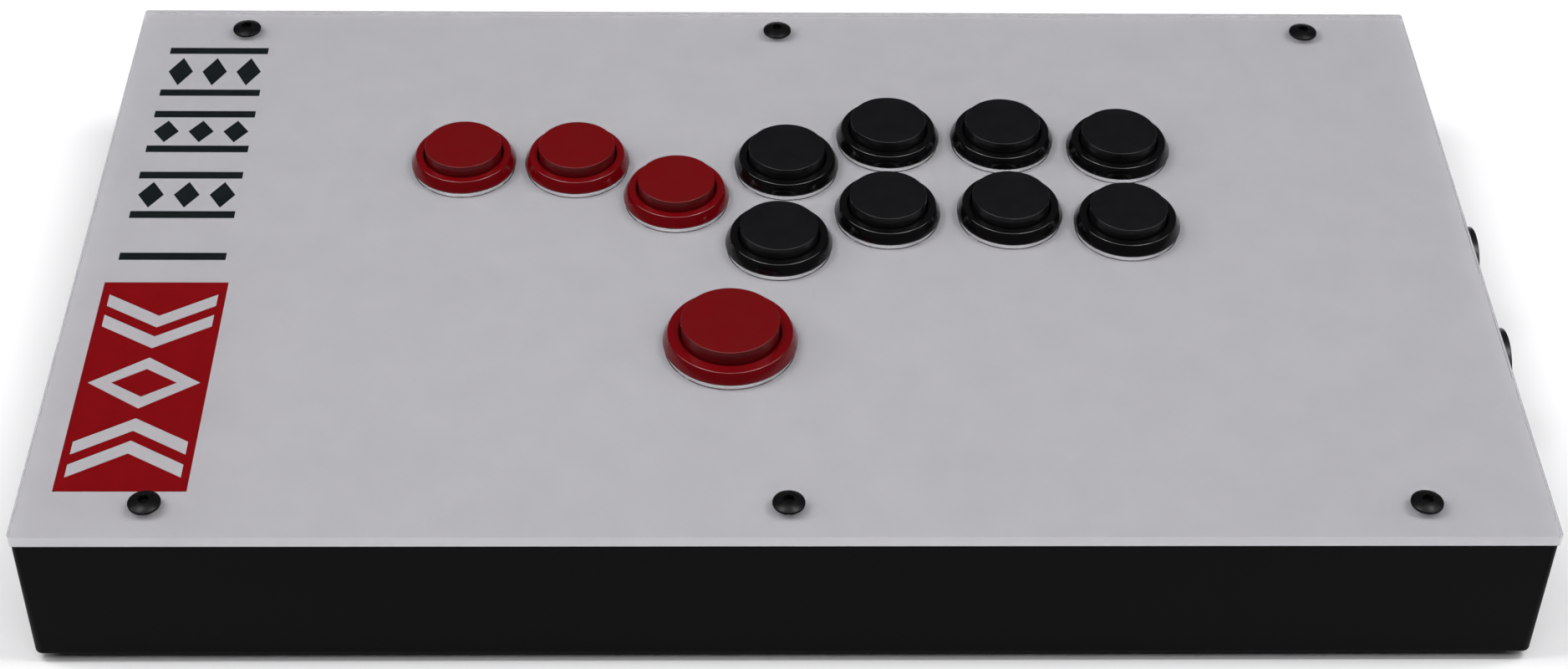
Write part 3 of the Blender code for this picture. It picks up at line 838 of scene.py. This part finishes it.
def makeButtons():
    gripTop = (coverHigh.z - plateLow.z) / mm
    kinds = ((False, gripTop), (True, gripTop), (False, caseShape["wall"]))
    housings = {kind: housingMesh(*kind) for kind in kinds}
    plungers = {large: plungerMesh(large) for large in (False, True)}
    body, nub, blades = switchMeshes()
    for button in buttons:
        name, place, large = button["name"], button["place"], button["large"]
        colour = "red" if button["red"] else "black"
        grip = caseShape["wall"] if button["side"] else gripTop
        rimMesh, capMesh = housings[(large, grip)].copy(), plungers[large].copy()
        rim, cap = materials[colour + "Rim"], materials[colour + "Plunger"]
        addPiece(name + "_rimAndBarrel", rimMesh, rim, "case", name + "_housing", place=place)
        addPiece(name + "_cap", capMesh, cap, name + "_button", name + "_plunger", place=place)
        addPiece(name + "_switchBody", body.copy(), materials["nylon"], "case", name + "_switch", place=place)
        for part, mesh, finish in (("_switchNub", nub, "nub"), ("_switchBlades", blades, "tinned")):
            addPiece(name + part, mesh.copy(), materials[finish], "case", place=place)


makeButtons()
print("buttons made:", len(buttons))


boardShape = {
    "thick": 1.6, "corner": 2.0, "screwHole": 1.6,
    "chip": 10.0, "chipHeight": 1.2, "pins": 11, "pinPitch": 0.8, "pin": (0.9, 0.35, 0.18),
    "poles": 10, "polePitch": 5.0, "poleHeight": 9.0, "poleDepth": 6.5, "poleMouth": (3.2, 4.0, 3.0),
    "parts": 6, "partPitch": 4.2, "part": (2.0, 1.2, 0.85),
}


def makeBoard():
    shape = boardShape
    low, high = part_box("main_board")
    middle = boxMiddle("main_board")
    top = low.z + shape["thick"] * mm
    loops = [roundedRectangle(high.x - low.x, high.y - low.y, shape["corner"] * mm, 6, middle.x, middle.y)]
    for side in ("left", "right"):
        screw = boxMiddle(f"board_screw_{side}")
        loops.append(circlePoints(screw.x, screw.y, shape["screwHole"] * mm, 32))
    mesh = plateMesh(loops, low.z, top, 0.05 * mm, "circuitBoard")
    addPiece("circuitBoard", mesh, materials["mask"], "case", "main_board")
    makeChip(middle.x + 12 * mm, middle.y + 1 * mm, top)
    makeTerminals(middle.x, low.y + 6.5 * mm, top)
    makeSmallParts(middle.x - 26 * mm, middle.y, top)


def makeChip(chipX, chipY, top):
    # A square chip with pins on all four sides and a dot at its first corner
    shape = boardShape
    side = shape["chip"] * mm
    rise = 0.12 * mm
    centre = (chipX, chipY, top + rise + shape["chipHeight"] / 2 * mm)
    chip = blockMesh(centre, (side, side, shape["chipHeight"] * mm), 0.12 * mm, "chip")
    dot = peg(chipX - 3.6 * mm, chipY + 3.6 * mm, 0.5 * mm, centre[2] + 0.5 * mm, centre[2] + 1 * mm, 24)
    addPiece("controlChip", combined(chip, dot, "DIFFERENCE"), materials["epoxy"], "case")
    pins = []
    reach, wide, thick = [v * mm for v in shape["pin"]]
    for index in range(shape["pins"]):
        along = (index - (shape["pins"] - 1) / 2) * shape["pinPitch"] * mm
        for sign in (-1, 1):
            across = sign * (side / 2 + reach / 2)
            centre = (chipX + across, chipY + along, top + 0.25 * mm)
            pins.append(blockMesh(centre, (reach, wide, thick), 0.04 * mm, "pin"))
            centre = (chipX + along, chipY + across, top + 0.25 * mm)
            pins.append(blockMesh(centre, (wide, reach, thick), 0.04 * mm, "pin"))
    addPiece("chipPins", gathered(pins, "chipPins"), materials["tinned"], "case")


def makeTerminals(middleX, rowY, top):
    # A row of screw terminals along the board's front edge
    shape = boardShape
    pitch = shape["polePitch"] * mm
    startX = middleX - (shape["poles"] - 1) / 2 * pitch
    height = shape["poleHeight"] * mm
    size = (shape["poles"] * pitch, shape["poleDepth"] * mm, height)
    row = blockMesh((middleX, rowY, top + height / 2 + 0.02 * mm), size, 0.3 * mm, "terminalRow")
    tools, heads, slots = [], [], []
    for index in range(shape["poles"]):
        x = startX + index * pitch
        tools.append(peg(x, rowY, 1.9 * mm, top + height - 1.2 * mm, top + height + 1 * mm, 32))
        mouth = (x, rowY - shape["poleDepth"] / 2 * mm, top + 2.8 * mm)
        tools.append(blockMesh(mouth, [v * mm for v in shape["poleMouth"]], 0, "mouth"))
        heads.append(peg(x, rowY, 1.7 * mm, top + height - 1.3 * mm, top + height - 0.5 * mm, 32))
        slots.append(blockMesh((x, rowY, top + height - 0.5 * mm), (3.6 * mm, 0.5 * mm, 0.7 * mm), 0, "slot"))
    row = combined(row, gathered(tools, "terminalCuts"), "DIFFERENCE")
    addPiece("terminalRow", row, materials["terminal"], "case")
    heads = combined(gathered(heads, "terminalScrews"), gathered(slots, "terminalSlots"), "DIFFERENCE")
    addPiece("terminalScrews", heads, materials["tinned"], "case")


def makeSmallParts(startX, middleY, top):
    # Resistors and capacitors in a zigzag beside the chip
    shape = boardShape
    parts = []
    for index in range(shape["parts"]):
        x = startX + index * shape["partPitch"] * mm
        y = middleY + (3 if index % 2 else 7) * mm
        parts.append(blockMesh((x, y, top + 0.45 * mm), [v * mm for v in shape["part"]], 0.1 * mm, "part"))
    addPiece("smallParts", gathered(parts, "smallParts"), materials["epoxy"], "case")


def boardScrewMesh():
    # A pan head with a cross recess over a plain shank
    profile = [(0.0, 1.8)] + arcPoints(1.2, 0.3, 1.5, 90, 0, 8)
    profile += [(2.7, 0.0), (1.25, 0.0), (1.25, -5.6), (0.0, -6.2)]
    mesh = turnedMesh([(r * mm, z * mm) for r, z in profile], "boardScrew", 48)
    for size in ((2.6, 0.6, 1.6), (0.6, 2.6, 1.6)):
        mesh = combined(mesh, blockMesh((0, 0, 1.9 * mm), [v * mm for v in size], 0, "cross"), "DIFFERENCE")
    return mesh


def makeBoardScrews():
    low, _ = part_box("main_board")
    for side in ("left", "right"):
        middle = boxMiddle(f"board_screw_{side}")
        place = Matrix.Translation((middle.x, middle.y, low.z + (boardShape["thick"] + 0.02) * mm))
        name = "boardScrew_" + side
        addPiece(name, boardScrewMesh(), materials["oxide"], "case", "board_screw_" + side, place=place)


socketShape = {"shell": 0.3, "mouthDepth": 6.2, "tongue": (6.7, 5.6, 0.7)}


def makeSocket():
    # A folded metal shell with round ends, open at the back, and a thin tongue in it
    low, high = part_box("cable_socket")
    middle = boxMiddle("cable_socket")
    width, height = high.x - low.x, high.z - low.z

    def ring(inset, y):
        outline = roundedRectangle(width - 2 * inset, height - 2 * inset, (height / 2 - inset) * 0.98, 8)
        return [(middle.x + x, y, middle.z + z) for x, z in outline]

    shell = socketShape["shell"] * mm
    deep = high.y - socketShape["mouthDepth"] * mm
    rings = [ring(0, low.y), ring(0, high.y - 0.1 * mm), ring(0.1 * mm, high.y)]
    rings += [ring(shell - 0.05 * mm, high.y), ring(shell, high.y - 0.1 * mm), ring(shell, deep)]
    addPiece("socketShell", loftMesh(rings, "socketShell"), materials["nickel"], "case", "cable_socket")
    size = [v * mm for v in socketShape["tongue"]]
    centre = (middle.x, deep + size[1] / 2 + 0.02 * mm, middle.z)
    tongue = blockMesh(centre, size, 0.15 * mm, "tongue")
    addPiece("socketTongue", tongue, materials["epoxy"], "case")
    pads = []
    for index in range(12):
        x = middle.x + (index - 5.5) * 0.5 * mm
        for sign in (-1, 1):
            z = middle.z + sign * (size[2] / 2 + 0.01 * mm)
            pads.append(blockMesh((x, centre[1] + 0.6 * mm, z), (0.25 * mm, 3.6 * mm, 0.04 * mm), 0, "pad"))
    addPiece("socketPads", gathered(pads, "socketPads"), materials["tinned"], "case")


makeBoard()
makeBoardScrews()
makeSocket()
print("board and socket made")


floorLook = {
    "colour": "#F2F2F3", "colourPatch": "#EFEFF0", "patchMm": 400, "roughness": 0.6, "roughnessShift": 0.03,
    "specular": 0.2,
}
floorSize = 6.0     # metres
# Softboxes: where they hang from the panel's middle, how large they are, and how strong
lamps = {
    "overheadLeft": {"at": (-0.6, -0.1, 1.5), "size": (0.4, 0.5), "power": 8.0},
    "overheadMiddle": {"at": (0.0, -0.1, 1.5), "size": (0.8, 0.2), "power": 3.0},
    "overheadRight": {"at": (0.6, -0.1, 1.5), "size": (0.4, 0.5), "power": 8.0},
    "front": {"at": (0.0, -0.8, 1.5), "size": (1.6, 0.5), "power": 8.0},
    "left": {"at": (-1.2, 0.0, 1.3), "size": (0.6, 1.4), "power": 9.0},
    "right": {"at": (1.2, 0.0, 1.3), "size": (0.6, 1.4), "power": 8.0},
}
worldLook = {"colour": "#C8C9CC", "strength": 0.08}
cameraShape = {"lens": 64.61, "at": (-15.97, -560.51, 507.88), "pitch": 41.48, "yaw": 1.72, "roll": 1.19}


def makeFloor():
    bm = bmesh.new()
    bmesh.ops.create_grid(bm, x_segments=8, y_segments=8, size=floorSize / 2)
    floor = bpy.data.objects.new("floor", finishedMesh(bm, "floor"))
    floor.data.materials.append(newMaterial("paperSeamlessPale", floorLook))
    bpy.context.scene.collection.objects.link(floor)
    floor.location.z = -0.0002


def makeLamps():
    for name, lamp in lamps.items():
        data = bpy.data.lights.new(name, "AREA")
        data.shape = "RECTANGLE"
        data.size, data.size_y = lamp["size"]
        data.energy = lamp["power"]
        holder = bpy.data.objects.new(name, data)
        bpy.context.scene.collection.objects.link(holder)
        holder.location = panelMiddle + Vector(lamp["at"])
        aim = panelMiddle - holder.location
        holder.rotation_euler = aim.to_track_quat("-Z", "Y").to_euler()
    world = bpy.data.worlds.new("studio")
    world.use_nodes = True
    background = world.node_tree.nodes["Background"]
    background.inputs["Color"].default_value = linearColour(worldLook["colour"])
    background.inputs["Strength"].default_value = worldLook["strength"]
    bpy.context.scene.world = world
    bpy.context.scene.view_settings.view_transform = "Standard"


def makeCamera():
    data = bpy.data.cameras.new("camera")
    data.lens = cameraShape["lens"]
    data.clip_start = 0.01
    holder = bpy.data.objects.new("camera", data)
    bpy.context.scene.collection.objects.link(holder)
    yaw, pitch, roll = (math.radians(cameraShape[name]) for name in ("yaw", "pitch", "roll"))
    turn = Matrix.Rotation(-yaw, 4, "Z") @ Matrix.Rotation(math.radians(90) - pitch, 4, "X")
    turn = turn @ Matrix.Rotation(roll, 4, "Z")
    at = panelMiddle + Vector(cameraShape["at"]) * mm
    holder.matrix_world = Matrix.Translation(at) @ turn
    bpy.context.scene.camera = holder


makeFloor()
makeLamps()
makeCamera()
print("floor, lamps and camera set")
